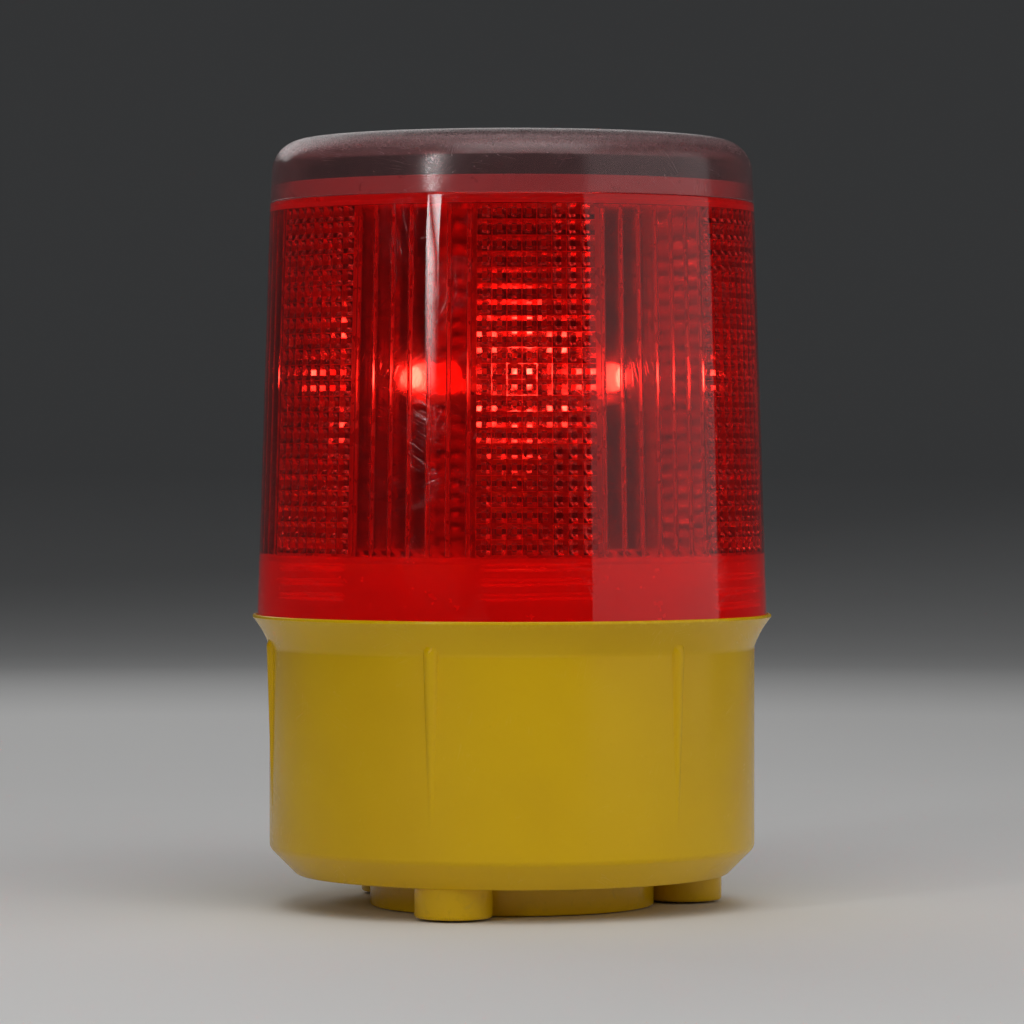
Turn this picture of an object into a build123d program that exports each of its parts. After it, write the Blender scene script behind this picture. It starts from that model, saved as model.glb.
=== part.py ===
"""Solar barricade warning light: a red prismatic lens that screws on to a yellow magnetic base.

Millimetres, +Z up. The origin is on the floor, under the middle of the base, and the lamp's axis is Z.
Angles are in degrees about +Z, from +X. One foot points along -Y.
"""

import os

from build123d import *

# ---- driving dimensions -------------------------------------------------------------------------
# heights of the shells
UNDER_Z = 5.8  # underside of the base
FLARE_Z = 46.0  # where the rim starts to flare
RIM_Z = 51.8  # top edge of the rim
LENS_TOP_Z = 124.6  # seam between the red lens and the clear cap
TOP_Z = 135.8  # flat top of the cap

# radii of the shells
BASE_R = 43.1
RIM_R = 46.1
RIM_INNER_R = 45.55
LENS_R_LOW = 45.25  # lens at the height of the rim
LENS_R_HIGH = 43.05  # lens at the seam
CAP_R = 42.95

# walls and clearances
WALL = 2.2
LENS_WALL = 2.2
GAP = 0.1  # between pieces that are assembled without glue

# the layout that the base, the feet, the lens and the lamps share
SIDES = 6
FEET = 3
FRONT = -90.0
LENS_CLOCK = -5.5  # middle of a prism panel when the lens is screwed home
PANEL_ARC = 28.0  # one prism panel; between two of them the lens has upright ridges inside
RIDGES = 7
RIDGE_STEP = 4.75  # degrees
RIDGE_W = 0.9
RIDGE_RISE = 0.5
PATTERN_Z = (62.9, 122.6)

# thread between the lens and the deck's collar
PITCH = 2.5
COLLAR_R = 41.2  # root of the collar's thread
COLLAR_CREST_R = 42.3
COLLAR_WALL = 2.0
COLLAR_TOP_Z = 59.7
COLLAR_THREAD_Z = 52.65
COLLAR_TURNS = 2.5
LENS_THREAD_R = 42.95  # root of the lens's thread
LENS_CREST_R = 41.6
LENS_THREAD_Z = COLLAR_THREAD_Z + PITCH / 2
LENS_THREAD_TOP_Z = 61.6
LUG_ROWS = 3
LUG_ARC = 28.0
THREAD_ROOT_W = 1.1
THREAD_CREST_W = 0.6

# base housing
CHAMFER = 4.7
FLOOR_Z = UNDER_Z + WALL
INNER_R = BASE_R - WALL
RIB_AXIS_R = BASE_R - 0.4
RIB_R = (0.4, 1.4)  # at its foot and at its head
RIB_Z = (15.5, 46.3)
FOOT_R = 6.75
FOOT_Z = 0.4  # the lamp stands on its magnet, and the feet only steady it
FOOT_PCD_R = 31.4
BOSS_R = 25.2  # ring under the base that holds the magnet
BOSS_Z = 0.15
POST_R = 4.6
POST_TOP_Z = 27.0
PILLAR_R = 2.6
WELL_R = 3.3
WELL_TOP_Z = 21.0
SCREW_CLEAR_R = 1.7
SCREW_BORE_R = 1.55  # case screws, in the posts of the deck
PILOT_R = 1.1  # small screws

# gasket and deck
SEAT_Z = 49.6  # ledge for the gasket
SEAT_R = 43.8
GASKET_R = (42.6, 43.6, 44.1)  # inside, foot and outside
GASKET_H = 1.5
LENS_FOOT_Z = SEAT_Z + GASKET_H + 0.1
DECK_Z = 47.6
DECK_TOP_Z = SEAT_Z
DECK_R = 42.4
DECK_POST_R = 4.2
WIRE_HOLE_R = 5.2

# magnet
POT_R = 22.0
POT_TOP_Z = 6.0
POT_WALL = 1.2
POT_FLOOR = 1.0

# light column
TUBE_R = 6.8
TUBE_BORE_R = 5.2
FLANGE_T = 2.0
COLUMN_FOOT_R = 14.0
COLUMN_FOOT_T = 2.2
FOOT_SCREWS = (11.0, 3, -30.0)  # radius, count, first angle
JOINT_FLANGE_R = 10.8
JOINT_SCREWS = (8.9, 3, -60.0)
TRAY_FLANGE_R = 12.5
TRAY_SCREWS = (9.8, 3, -30.0)

# lamps
BOARD_T = 1.6
LED_BOARD_Z = 89.0
LED_BOARD_TOP_Z = LED_BOARD_Z + BOARD_T
LED_BOARD_R = 19.0
LED_BOARD_HOLE_R = 3.6
LED_R = 2.5
LED_FLANGE_R = 2.9
LED_LEN = 8.6
LED_BACK_R = 13.0
LED_AXIS_Z = LED_BOARD_TOP_Z + LED_FLANGE_R + GAP

# solar panel
TRAY_Z = 125.5
TRAY_FLOOR_Z = TRAY_Z + 1.5
TRAY_R = 37.8
PANEL_Z = TRAY_FLOOR_Z + 1.5
PANEL_R = 35.9
PANEL_TOP_Z = PANEL_Z + 1.2
CELL_T = 0.3
RESIN_TOP_Z = 131.0

# batteries, two AA cells side by side along X
CELL_R = 7.1
CELL_LEN = 49.2
CELL_END_X = 24.2
NUB_R = 2.7
NUB_LEN = 1.3
CELL_PITCH = 15.2
PACK_Y = -9.0
CELL_AXIS_Z = 25.2
HOLDER_Z = 16.0
HOLDER_H = 9.0
HOLDER_SEAT_Z = HOLDER_Z + 2.1
HOLDER_L = 58.0
HOLDER_W = 31.0
HOLDER_END_H = 16.0
HOLDER_WALL = 1.6
HOLDER_PADS = [(-15.0, PACK_Y), (15.0, PACK_Y)]
PLATE_X = 27.15
PLATE_T = 0.4
PLATE_TOP_Z = CELL_AXIS_Z + 4.5

# control board and push switch
CONTROL_Z = 19.0
CONTROL_TOP_Z = CONTROL_Z + BOARD_T
CONTROL_Y = (11.0, 36.0)
CONTROL_W = 32.0
STANDOFFS = [(-12.0, 20.0), (12.0, 20.0)]
SWITCH_Y = 32.0
SWITCH_HOLE_R = 5.0
SWITCH_BODY_Z = 11.8
SWITCH_WELL_H = 5.7
BUTTON_R = 3.5
BUTTON_FACE_Z = 3.6
STEM_R = 1.6
STEM_TOP_Z = 14.0

# leads
LEAD_R = 0.6
BATTERY_LEAD_R = 0.55
CROSSING_Z = 41.0  # where the column's leads turn towards the control board


# ---- helpers ------------------------------------------------------------------------------------
def wall_radius(z):
    """Outer radius of the lens at height z."""
    share = (z - RIM_Z) / (LENS_TOP_Z - RIM_Z)
    return LENS_R_LOW + (LENS_R_HIGH - LENS_R_LOW) * share


def turned(points):
    """A solid of revolution about Z from its closed (radius, height) outline."""
    with BuildPart() as body:
        with BuildSketch(Plane.XZ):
            with BuildLine():
                Polyline(*points, close=True)
            make_face()
        revolve(axis=Axis.Z)
    return body.part


def ring(inner_r, outer_r, low_z, high_z):
    """A plain ring or, with inner_r of 0, a disc."""
    return turned([(inner_r, low_z), (outer_r, low_z), (outer_r, high_z), (inner_r, high_z)])


def pegs(places, radius, low_z, high_z):
    """Upright round bars at the same height, centred on (x, y) places."""
    with BuildPart() as bars:
        with BuildSketch(Plane.XY.offset(low_z)):
            with Locations(*places):
                Circle(radius)
        extrude(amount=high_z - low_z)
    return bars.part


def polar(radius, count, start):
    """count (x, y) places on a circle about Z."""
    spots = [Vector(radius, 0).rotate(Axis.Z, start + k * 360 / count) for k in range(count)]
    return [(spot.X, spot.Y) for spot in spots]


def screws(head_r, head_h, shank_r, length, places, seat_z, up=False):
    """The same pan-head screw at each place, head on seat_z, pointing down or up."""
    outline = [(0, head_h), (head_r * 0.7, head_h), (head_r, head_h * 0.6), (head_r, 0), (shank_r, 0)]
    outline += [(shank_r, shank_r - length), (shank_r * 0.4, -length), (0, -length)]
    screw = turned(outline)
    with BuildPart() as group:
        with Locations(*[Location((x, y, seat_z), (180 if up else 0, 0, 0)) for x, y in places]):
            add(screw)
    return group.part


def wire(points, bends, radius):
    """A round wire along straight runs joined by tangent bends."""
    with BuildPart() as lead:
        with BuildLine() as route:
            FilletPolyline(*points, radius=bends)
        with BuildSketch(Plane(origin=route.line @ 0, z_dir=route.line % 0)):
            Circle(radius)
        sweep(path=route.line)
    return lead.part


def coil_spring(start, axis, length, coil_r, wire_r, pitch):
    """A coil spring from start along axis."""
    with BuildPart() as spring:
        with BuildLine() as coil:
            Helix(pitch=pitch, height=length, radius=coil_r, center=start, direction=axis)
        with BuildSketch(Plane(origin=coil.line @ 0, z_dir=coil.line % 0)):
            Circle(wire_r)
        sweep(path=coil.line, is_frenet=True)
    return spring.part


def thread_ridge(root_r, crest_r, low_z, arc, start):
    """A right-hand helical ridge with a trapezoid section, arc degrees long, from angle start."""
    reach = crest_r - root_r
    embed = 0.25 if reach < 0 else -0.25
    root, crest = THREAD_ROOT_W / 2, THREAD_CREST_W / 2
    section = Plane(origin=(root_r, 0, low_z), x_dir=(1, 0, 0), z_dir=(0, -1, 0))
    with BuildPart() as ridge:
        with BuildLine() as path:
            Helix(pitch=PITCH, height=PITCH * arc / 360, radius=root_r, center=(0, 0, low_z))
        with BuildSketch(section):
            with BuildLine():
                Polyline((embed, -root), (reach, -crest), (reach, crest), (embed, root), close=True)
            make_face()
        sweep(path=path.line, is_frenet=True)
    return ridge.part.rotate(Axis.Z, start)


# ---- base housing -------------------------------------------------------------------------------
def base_blank():
    """The base's outer form, solid: chamfered cup with a flared rim."""
    low_r = BASE_R - CHAMFER
    shoulder = (BASE_R, UNDER_Z + CHAMFER)
    with BuildPart() as blank:
        with BuildSketch(Plane.XZ):
            with BuildLine():
                FilletPolyline((0, UNDER_Z), (low_r, UNDER_Z), shoulder, (BASE_R, FLARE_Z), radius=1.0)
                ThreePointArc((BASE_R, FLARE_Z), (44.3, 48.9), (RIM_R, RIM_Z))
                Polyline((RIM_R, RIM_Z), (0, RIM_Z), (0, UNDER_Z))
            make_face()
        revolve(axis=Axis.Z)
    return blank.part


def base_rib():
    """One rib of the base at angle 0: a slim cone in the wall, widest at its round head."""
    (foot_r, head_r), (low, high) = RIB_R, RIB_Z
    with BuildPart() as rib:
        with BuildSketch(Plane.XZ):
            with BuildLine():
                Polyline((0, high + head_r), (0, low), (foot_r, low), (head_r, high))
                RadiusArc((head_r, high), (0, high + head_r), -head_r)
            make_face()
        revolve(axis=Axis.Z)
    return rib.part.moved(Location((RIB_AXIS_R, 0, 0)))


def base_cavity():
    """Hollow of the base, with the ledge for the deck and the gasket's seat."""
    outline = [
        (0, FLOOR_Z),
        (BASE_R - CHAMFER - 0.9, FLOOR_Z),
        (INNER_R, FLOOR_Z + CHAMFER - 1.3),
        (INNER_R, DECK_Z),
        (DECK_R + GAP, DECK_Z),
        (DECK_R + GAP, SEAT_Z),
        (SEAT_R, SEAT_Z),
        (RIM_INNER_R, RIM_Z),
        (0, RIM_Z),
    ]
    return turned(outline)


def make_base_housing():
    """Yellow cup: flared rim, six ribs, three feet, magnet ring, posts and pads, in one moulding."""
    feet = polar(FOOT_PCD_R, FEET, FRONT)
    rib = base_rib()
    with BuildPart() as housing:
        add(base_blank())
        for side in range(SIDES):
            add(rib.rotate(Axis.Z, FRONT + side * 360 / SIDES))
        add(pegs(feet, FOOT_R, FOOT_Z, FLOOR_Z))
        add(ring(0, BOSS_R, BOSS_Z, FLOOR_Z))
        add(base_cavity(), mode=Mode.SUBTRACT)
        # roof over the magnet, pillar for its screw, posts for the deck, pads and standoffs
        add(ring(0, BOSS_R, POT_TOP_Z, POT_TOP_Z + WALL))
        add(pegs([(0, 0)], POST_R, POT_TOP_Z, HOLDER_Z))
        add(pegs(feet, POST_R, UNDER_Z, POST_TOP_Z))
        add(pegs(STANDOFFS, PILLAR_R, UNDER_Z, CONTROL_Z))
        add(pegs(HOLDER_PADS, PILLAR_R, POT_TOP_Z, HOLDER_Z))
        # magnet recess, screw wells, pilot holes and the button's hole
        add(ring(0, POT_R + GAP, BOSS_Z - 1, POT_TOP_Z), mode=Mode.SUBTRACT)
        add(pegs([(0, 0)], SCREW_CLEAR_R, POT_TOP_Z - 1, HOLDER_Z - 1.5), mode=Mode.SUBTRACT)
        add(pegs(feet, WELL_R, -1, WELL_TOP_Z), mode=Mode.SUBTRACT)
        add(pegs(feet, SCREW_CLEAR_R, WELL_TOP_Z - 1, POST_TOP_Z + 1), mode=Mode.SUBTRACT)
        add(pegs(STANDOFFS, PILOT_R, CONTROL_Z - 7, CONTROL_Z + 1), mode=Mode.SUBTRACT)
        add(pegs(HOLDER_PADS, PILOT_R, HOLDER_Z - 6, HOLDER_Z + 1), mode=Mode.SUBTRACT)
        add(pegs([(0, SWITCH_Y)], SWITCH_HOLE_R, UNDER_Z - 1, FLOOR_Z + 1), mode=Mode.SUBTRACT)
    return housing.part


# ---- deck, gasket, lens and cap -----------------------------------------------------------------
def make_deck():
    """Yellow lid of the battery space, with the threaded collar that the lens screws on to."""
    feet = polar(FOOT_PCD_R, FEET, FRONT)
    with BuildPart() as deck:
        add(ring(WIRE_HOLE_R, DECK_R, DECK_Z, DECK_TOP_Z))
        add(ring(COLLAR_R - COLLAR_WALL, COLLAR_R, DECK_TOP_Z - 0.5, COLLAR_TOP_Z))
        add(thread_ridge(COLLAR_R, COLLAR_CREST_R, COLLAR_THREAD_Z, 360 * COLLAR_TURNS, 0))
        add(pegs(feet, DECK_POST_R, POST_TOP_Z + GAP, DECK_Z + 1))
        add(pegs(feet, SCREW_BORE_R, POST_TOP_Z, POST_TOP_Z + 14), mode=Mode.SUBTRACT)
        add(pegs(polar(*FOOT_SCREWS), PILOT_R, DECK_Z - 1, DECK_TOP_Z + 1), mode=Mode.SUBTRACT)
    return deck.part


def make_gasket():
    """Flat rubber ring on the ledge inside the rim, under the foot of the lens."""
    inner, foot, outer = GASKET_R
    low, high = SEAT_Z + 0.05, SEAT_Z + GASKET_H
    return turned([(inner, low), (foot, low), (outer, low + 0.8), (outer, high), (inner, high)])


def lens_shell():
    """The lens without its pattern or thread: a tapered tube with a neck for the cap."""
    neck_r = (39.9, 41.4)
    neck_z = LENS_TOP_Z + 3.1
    low_r = wall_radius(LENS_THREAD_TOP_Z) - LENS_WALL
    high_r = LENS_R_HIGH - LENS_WALL
    outline = [
        (LENS_THREAD_R, LENS_FOOT_Z),
        (LENS_R_LOW - 0.5, LENS_FOOT_Z),
        (LENS_R_LOW, RIM_Z),
        (LENS_R_HIGH, LENS_TOP_Z),
        (neck_r[1], LENS_TOP_Z),
        (neck_r[1], neck_z),
        (neck_r[0], neck_z),
        (neck_r[0], LENS_TOP_Z - 1.0),
        (high_r, LENS_TOP_Z - 1.9),
        (low_r, LENS_THREAD_TOP_Z),
        (LENS_THREAD_R, LENS_THREAD_TOP_Z - 0.2),
    ]
    return turned(outline)


def lens_ridge():
    """One upright ridge of the lens's inner face, at angle 0, with a rounded crest."""
    root = 0.3  # how deep it is set into the wall
    half = RIDGE_W / 2
    low, high = [Vector(wall_radius(z) - LENS_WALL, 0, z) for z in PATTERN_Z]
    section = Plane(origin=low, x_dir=(0, 1, 0), z_dir=high - low)
    side = 1 if section.y_dir.X < 0 else -1  # towards the axis
    with BuildPart() as ridge:
        with BuildSketch(section):
            with BuildLine():
                ThreePointArc((-half, 0), (0, side * RIDGE_RISE), (half, 0))
                Polyline((half, 0), (half, -side * root), (-half, -side * root), (-half, 0))
            make_face()
        extrude(amount=(high - low).length)
    return ridge.part


def make_lens():
    """Red lens, ridged inside between its prism panels, with interrupted thread lugs at its foot."""
    ridge = lens_ridge()
    sixth = 360 / SIDES
    first_ridge = LENS_CLOCK + sixth / 2 - RIDGE_STEP * (RIDGES - 1) / 2
    first_lug = LENS_CLOCK - LUG_ARC / 2
    with BuildPart() as lens:
        add(lens_shell())
        for side in range(SIDES):
            for step in range(RIDGES):
                add(ridge.rotate(Axis.Z, first_ridge + side * sixth + step * RIDGE_STEP))
            start = first_lug + side * sixth
            for row in range(LUG_ROWS):
                low_z = LENS_THREAD_Z + PITCH * (row + start / 360)
                add(thread_ridge(LENS_THREAD_R, LENS_CREST_R, low_z, LUG_ARC, start))
    return lens.part


def make_top_cap():
    """Clear cap with a rounded edge, bonded over the neck of the lens."""
    edge_r = 6.75
    skirt_r = 41.45
    step_z = LENS_TOP_Z + 3.2
    roof_z = TOP_Z - 1.8
    outer = [(0, TOP_Z), (CAP_R - 0.5, TOP_Z), (CAP_R, LENS_TOP_Z), (skirt_r, LENS_TOP_Z)]
    inner = [(skirt_r, step_z), (skirt_r - 0.3, roof_z), (0, roof_z)]
    with BuildPart() as cap:
        with BuildSketch(Plane.XZ):
            with BuildLine():
                FilletPolyline(*outer, radius=[edge_r, 0.2])
                Line(outer[-1], inner[0])
                FilletPolyline(*inner, radius=5.4)
                Line(inner[-1], outer[0])
            make_face()
        revolve(axis=Axis.Z)
    return cap.part


# ---- magnet -------------------------------------------------------------------------------------
def make_magnet_cup():
    """Steel pot that holds the ring magnet, open downwards."""
    hole_r = 2.2
    floor_z = POT_TOP_Z - POT_FLOOR
    mouth_r = POT_R - POT_WALL
    outline = [(hole_r, POT_TOP_Z), (POT_R, POT_TOP_Z), (POT_R, 0)]
    outline += [(mouth_r, 0), (mouth_r, floor_z), (hole_r, floor_z)]
    return turned(outline)


def make_magnet_ring():
    """Ferrite ring inside the pot."""
    return ring(5.5, POT_R - POT_WALL - GAP, GAP, POT_TOP_Z - POT_FLOOR)


def make_magnet_screw():
    """Screw through the pot into the pillar of the base."""
    return screws(4.2, 2.2, 1.65, 8.0, [(0, 0)], POT_TOP_Z - POT_FLOOR, up=True)


# ---- battery pack -------------------------------------------------------------------------------
def make_battery_cell(side):
    """One AA cell along X; its positive nub points to +X on side 1 and to -X on side -1."""
    y = PACK_Y + side * CELL_PITCH / 2
    along = (side, 0, 0)
    nub_x = side * (CELL_LEN - CELL_END_X)
    with BuildPart() as cell:
        with BuildSketch(Plane(origin=(-side * CELL_END_X, y, CELL_AXIS_Z), z_dir=along)):
            Circle(CELL_R)
        extrude(amount=CELL_LEN)
        fillet(cell.edges().filter_by(GeomType.CIRCLE), 0.6)
        with BuildSketch(Plane(origin=(nub_x, y, CELL_AXIS_Z), z_dir=along)):
            Circle(NUB_R)
        extrude(amount=NUB_LEN)
    return cell.part


def make_battery_holder():
    """Black tray with a trough for each cell, screwed to two pads of the base."""
    inside_x = HOLDER_L / 2 - HOLDER_WALL
    on_floor = (Align.CENTER, Align.CENTER, Align.MIN)
    trough_y = [PACK_Y - CELL_PITCH / 2, PACK_Y + CELL_PITCH / 2]
    slot = (HOLDER_L - 2 * HOLDER_WALL - 2 * PLATE_X + GAP, CELL_PITCH + 8.4, 9.4)
    with BuildPart() as holder:
        with Locations((0, PACK_Y, HOLDER_Z)):
            Box(HOLDER_L, HOLDER_W, HOLDER_H, align=on_floor)
        with Locations((inside_x + HOLDER_WALL / 2, PACK_Y, HOLDER_Z)):
            Box(HOLDER_WALL, HOLDER_W, HOLDER_END_H, align=on_floor)
        with Locations((-inside_x - HOLDER_WALL / 2, PACK_Y, HOLDER_Z)):
            Box(HOLDER_WALL, HOLDER_W, HOLDER_END_H, align=on_floor)
        with BuildSketch(Plane(origin=(-inside_x, 0, 0), x_dir=(0, 1, 0), z_dir=(1, 0, 0))):
            with Locations(*[(y, CELL_AXIS_Z) for y in trough_y]):
                Circle(CELL_R + 0.15)
        extrude(amount=2 * inside_x, mode=Mode.SUBTRACT)
        with Locations((PLATE_X, PACK_Y, CELL_AXIS_Z), (-PLATE_X, PACK_Y, CELL_AXIS_Z)):
            Box(*slot, mode=Mode.SUBTRACT)
        add(pegs(HOLDER_PADS, 1.3, HOLDER_Z - 1, HOLDER_Z + HOLDER_H), mode=Mode.SUBTRACT)
        add(pegs(HOLDER_PADS, 2.4, HOLDER_SEAT_Z, HOLDER_Z + HOLDER_H), mode=Mode.SUBTRACT)
    return holder.part


def make_contact_springs():
    """Coil spring at the negative end of each cell."""
    wire_r = 0.28
    start_x = PLATE_X - PLATE_T / 2 - wire_r
    with BuildPart() as springs:
        for side in (1, -1):
            start = (-side * start_x, PACK_Y + side * CELL_PITCH / 2, CELL_AXIS_Z)
            add(coil_spring(start, (side, 0, 0), 2.1, 2.8, wire_r, 0.8))
    return springs.part


def make_contact_plates():
    """Two end plates for the leads, and at the other end the plate that joins the cells."""
    height = 2 * (PLATE_TOP_Z - CELL_AXIS_Z)
    with BuildPart() as plates:
        with Locations((PLATE_X, PACK_Y, CELL_AXIS_Z)):
            with GridLocations(1, CELL_PITCH, 1, 2):
                Box(PLATE_T, 8.0, height)
        with Locations((-PLATE_X, PACK_Y, CELL_AXIS_Z)):
            Box(PLATE_T, CELL_PITCH + 8.0, height)
    return plates.part


# ---- control board and switch -------------------------------------------------------------------
def make_control_board():
    """Circuit board over the push switch, on two standoffs."""
    low, high = CONTROL_Y
    with BuildPart() as board:
        with BuildSketch(Plane.XY.offset(CONTROL_Z)):
            with Locations((0, (low + high) / 2)):
                RectangleRounded(CONTROL_W, high - low, 2.0)
            with Locations(*STANDOFFS):
                Circle(1.2, mode=Mode.SUBTRACT)
        extrude(amount=BOARD_T)
    return board.part


def make_driver_chip():
    """Flasher and charge chip, with its legs."""
    x, y = 3.0, 26.5
    with BuildPart() as chip:
        with Locations((x, y, CONTROL_TOP_Z + 0.95)):
            Box(5.0, 4.0, 1.5)
        with Locations((x, y, CONTROL_TOP_Z + 0.25)):
            with GridLocations(1.27, 0, 4, 1):
                Box(0.5, 6.2, 0.5)
    return chip.part


def make_inductor():
    """Boost inductor, a drum on the control board."""
    drum = pegs([(-8.0, 28.5)], 3.9, CONTROL_TOP_Z, CONTROL_TOP_Z + 5.5)
    with BuildPart() as coil:
        add(drum)
        fillet(coil.edges().group_by(Axis.Z)[-1], 0.8)
    return coil.part


def make_capacitors():
    """Two upright electrolytic capacitors."""
    with BuildPart() as cans:
        add(pegs([(11.5, 30.0), (-1.5, 32.5)], 2.5, CONTROL_TOP_Z, CONTROL_TOP_Z + 8.0))
        fillet(cans.edges().group_by(Axis.Z)[-1], 0.5)
    return cans.part


def make_switch_body():
    """Push switch under the control board, with the well that guides the button's stem."""
    height = CONTROL_Z - SWITCH_BODY_Z
    well = pegs([(0, SWITCH_Y)], STEM_R + GAP, SWITCH_BODY_Z - 1, SWITCH_BODY_Z + SWITCH_WELL_H)
    with BuildPart() as body:
        with Locations((0, SWITCH_Y, SWITCH_BODY_Z + height / 2)):
            Box(7.2, 7.2, height)
        add(well, mode=Mode.SUBTRACT)
    return body.part


def make_switch_button():
    """Button with a flange that keeps it in the base, and its stem."""
    flange_r = 4.6
    flange_z = (FLOOR_Z + 0.2, FLOOR_Z + 1.2)
    outline = [
        (0, BUTTON_FACE_Z),
        (BUTTON_R - 0.6, BUTTON_FACE_Z),
        (BUTTON_R, BUTTON_FACE_Z + 0.6),
        (BUTTON_R, flange_z[0]),
        (flange_r, flange_z[0]),
        (flange_r, flange_z[1]),
        (STEM_R, flange_z[1]),
        (STEM_R, STEM_TOP_Z),
        (0, STEM_TOP_Z),
    ]
    return turned(outline).moved(Location((0, SWITCH_Y, 0)))


def make_switch_spring():
    """Return spring between the stem and the roof of the well."""
    return coil_spring((0, SWITCH_Y, STEM_TOP_Z + 0.35), (0, 0, 1), 2.7, 1.2, 0.2, 0.75)


def make_switch_grommet():
    """Rubber seal in the base, round the button."""
    inner_r = BUTTON_R + GAP
    neck_r = SWITCH_HOLE_R - 0.05
    lip_r, lip_z = 5.9, UNDER_Z - 0.8
    outline = [(inner_r, lip_z), (lip_r, lip_z), (lip_r, UNDER_Z)]
    outline += [(neck_r, UNDER_Z), (neck_r, FLOOR_Z), (inner_r, FLOOR_Z)]
    return turned(outline).moved(Location((0, SWITCH_Y, 0)))


# ---- light column -------------------------------------------------------------------------------
def make_lower_column():
    """Tube that stands on the deck, stiffened by three gussets, and carries the lamp board."""
    foot_top_z = DECK_TOP_Z + COLUMN_FOOT_T
    flange_z = LED_BOARD_Z - FLANGE_T
    root_r, reach_r, height, sunk = TUBE_R - 0.5, 13.0, 14.0, 0.2
    low_z = foot_top_z - sunk
    gusset = [(root_r, low_z), (reach_r, low_z), (root_r, foot_top_z + height)]
    with BuildPart() as column:
        add(ring(TUBE_BORE_R, TUBE_R, DECK_TOP_Z, LED_BOARD_Z))
        add(ring(TUBE_BORE_R, COLUMN_FOOT_R, DECK_TOP_Z, foot_top_z))
        add(ring(TUBE_BORE_R, JOINT_FLANGE_R, flange_z, LED_BOARD_Z))
        for angle in (30, 150, 270):
            with BuildSketch(Plane.XZ.rotated((0, 0, angle))):
                with BuildLine():
                    Polyline(*gusset, close=True)
                make_face()
            extrude(amount=0.8, both=True)
        add(pegs(polar(*FOOT_SCREWS), 1.3, DECK_TOP_Z - 1, foot_top_z + 1), mode=Mode.SUBTRACT)
        add(pegs(polar(*JOINT_SCREWS), PILOT_R, flange_z - 1, LED_BOARD_Z + 1), mode=Mode.SUBTRACT)
    return column.part


def make_led_board():
    """Round circuit board that carries the lamps."""
    with BuildPart() as board:
        with BuildSketch(Plane.XY.offset(LED_BOARD_Z)):
            Circle(LED_BOARD_R)
            Circle(LED_BOARD_HOLE_R, mode=Mode.SUBTRACT)
            with Locations(*polar(*JOINT_SCREWS)):
                Circle(1.2, mode=Mode.SUBTRACT)
        extrude(amount=BOARD_T)
    return board.part


def led():
    """One 5 mm lamp, back at the origin, pointing along +Z."""
    straight = LED_LEN - LED_R
    outline = [(0, 0), (LED_FLANGE_R, 0), (LED_FLANGE_R, 1.0), (LED_R, 1.0), (LED_R, straight)]
    with BuildPart() as lamp:
        with BuildSketch(Plane.XZ):
            with BuildLine():
                Polyline(*outline)
                RadiusArc((LED_R, straight), (0, LED_LEN), -LED_R)
                Line((0, LED_LEN), (0, 0))
            make_face()
        revolve(axis=Axis.Z)
    return lamp.part


def make_leds():
    """Six lamps lying on the board, pointing outwards."""
    lamp = led().moved(Location(Plane(origin=(LED_BACK_R, 0, LED_AXIS_Z), z_dir=(1, 0, 0))))
    with BuildPart() as lamps:
        for side in range(SIDES):
            add(lamp.rotate(Axis.Z, LENS_CLOCK + side * 360 / SIDES))
    return lamps.part


def make_led_legs():
    """Two bent legs behind each lamp, down to the board."""
    back_x = LED_BACK_R - 1.2
    with BuildPart() as legs:
        for y in (-1.27, 1.27):
            points = [(LED_BACK_R, y, LED_AXIS_Z), (back_x, y, LED_AXIS_Z), (back_x, y, LED_BOARD_TOP_Z)]
            leg = wire(points, 0.8, 0.25)
            for side in range(SIDES):
                add(leg.rotate(Axis.Z, LENS_CLOCK + side * 360 / SIDES))
    return legs.part


def make_led_resistors():
    """One chip resistor for each lamp."""
    with BuildPart() as chips:
        with BuildSketch(Plane.XY.offset(LED_BOARD_TOP_Z)):
            with PolarLocations(15.5, SIDES, start_angle=LENS_CLOCK + 30):
                Rectangle(1.6, 3.2)
        extrude(amount=0.6)
    return chips.part


def make_upper_column():
    """Tube that clamps the lamp board and carries the solar tray."""
    flange_top_z = LED_BOARD_TOP_Z + FLANGE_T
    with BuildPart() as column:
        add(ring(TUBE_BORE_R, TUBE_R, LED_BOARD_TOP_Z, TRAY_Z))
        add(ring(TUBE_BORE_R, JOINT_FLANGE_R, LED_BOARD_TOP_Z, flange_top_z))
        add(ring(TUBE_BORE_R, TRAY_FLANGE_R, TRAY_Z - FLANGE_T, TRAY_Z))
        add(pegs(polar(*JOINT_SCREWS), 1.3, LED_BOARD_TOP_Z - 1, flange_top_z + 1), mode=Mode.SUBTRACT)
        add(pegs(polar(*TRAY_SCREWS), PILOT_R, TRAY_Z - FLANGE_T - 1, TRAY_Z + 1), mode=Mode.SUBTRACT)
    return column.part


# ---- solar panel --------------------------------------------------------------------------------
def make_solar_tray():
    """Dish under the clear cap that holds the solar panel."""
    ledge_r = 33.0
    lip_z = RESIN_TOP_Z + 0.2
    outline = [
        (TUBE_BORE_R, TRAY_Z),
        (TRAY_R - 1.3, TRAY_Z),
        (TRAY_R, TRAY_Z + 1.3),
        (TRAY_R, lip_z),
        (PANEL_R + GAP, lip_z),
        (PANEL_R + GAP, PANEL_Z),
        (ledge_r, PANEL_Z),
        (ledge_r, TRAY_FLOOR_Z),
        (TUBE_BORE_R, TRAY_FLOOR_Z),
    ]
    with BuildPart() as tray:
        add(turned(outline))
        add(pegs(polar(*TRAY_SCREWS), 1.3, TRAY_Z - 1, TRAY_FLOOR_Z + 1), mode=Mode.SUBTRACT)
    return tray.part


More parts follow.
